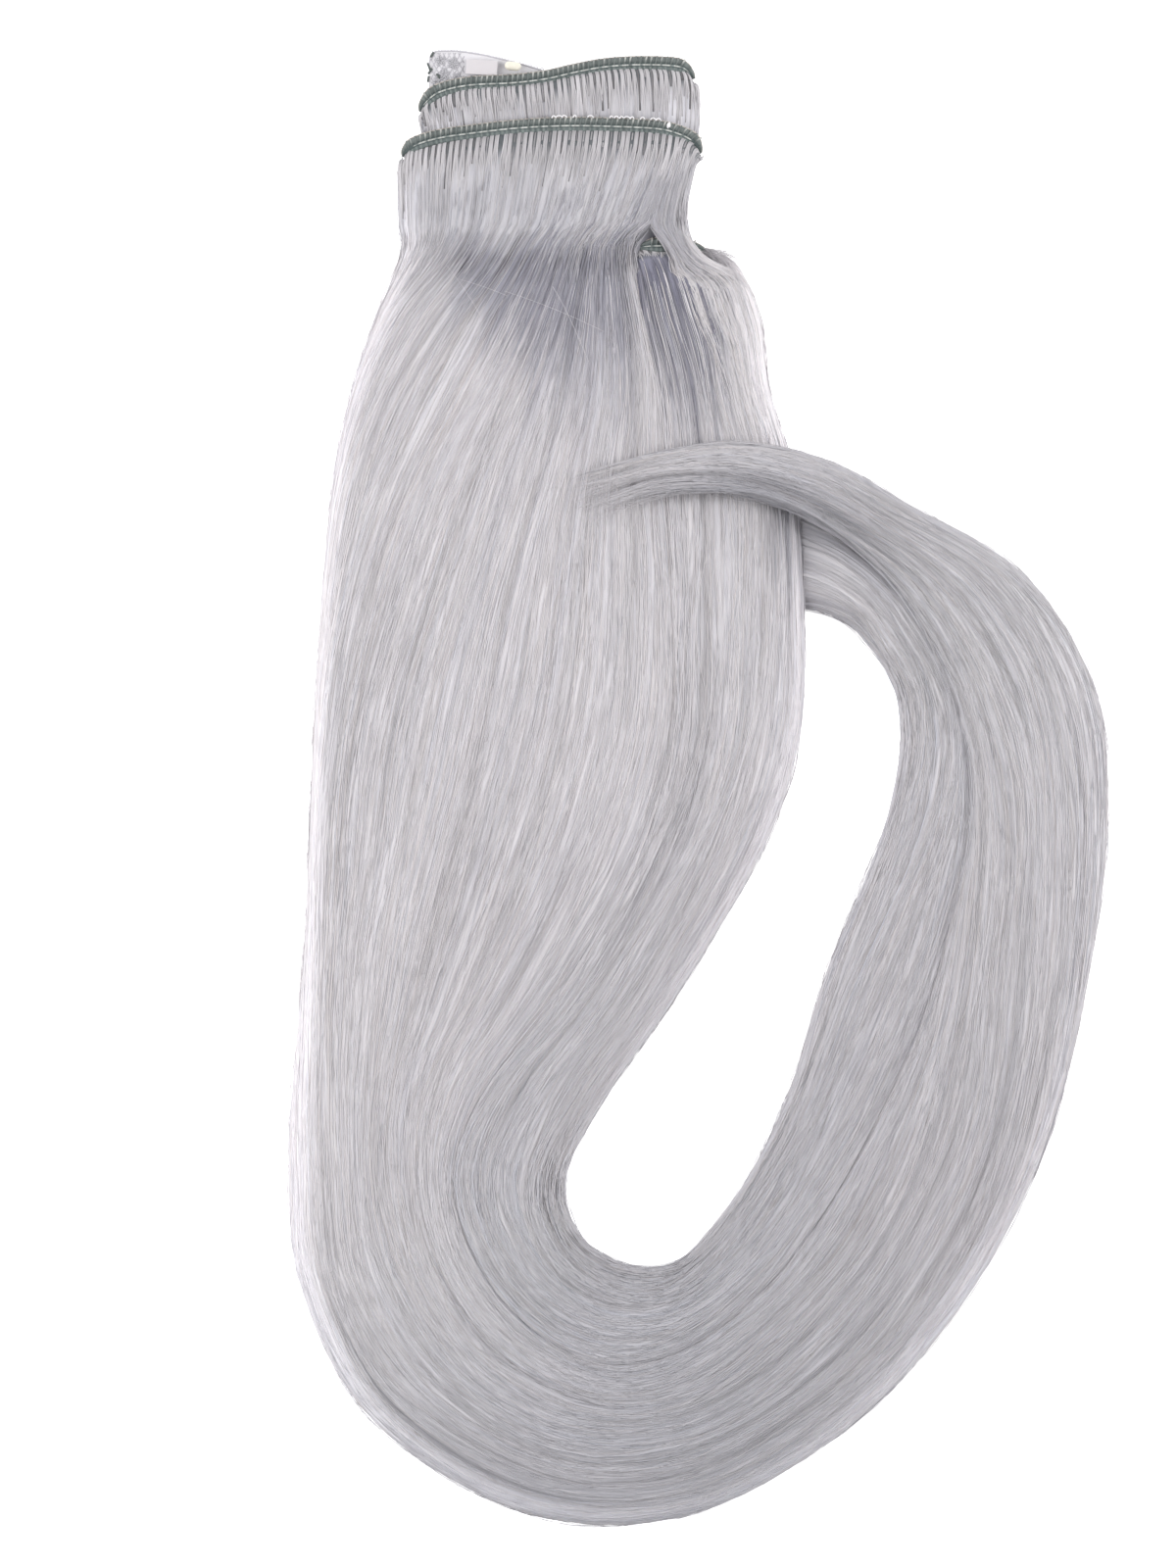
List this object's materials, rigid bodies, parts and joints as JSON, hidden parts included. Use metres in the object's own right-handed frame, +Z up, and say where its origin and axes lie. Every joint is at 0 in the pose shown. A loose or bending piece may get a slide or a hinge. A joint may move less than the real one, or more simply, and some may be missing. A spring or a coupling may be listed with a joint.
{
  "type": "halo hair extension",
  "caption": "Halo hair extension lying flat: a folded sewn weft with a lace tab, and long straight silver-lavender hair swept round in one open loop.",
  "frame": {"origin": "middle of the bounding box in x and y, at the height of the table it lies on", "axes": "+Z up from the table, +Y from the hair towards the weft, which is up in the picture, and +X to the right of the picture"},
  "size_m": [0.1672, 0.3016, 0.0186],
  "materials": {
    "weft": "grey-green sewn cord",
    "hair": "satin silver-lavender hair",
    "lace": "white lace net",
    "sleeve": "clear gloss",
    "crimp": "cream, satin"
  },
  "bodies": {
    "root": {"weft_upper": "weft", "weft_lower": "weft", "weft_tail": "weft", "hair_upper": "hair", "hair_lower": "hair", "hair_tail": "hair", "lace_tab": "lace", "clear_sleeve": "sleeve", "wire_crimp": "crimp"}
  },
  "joints": []
}
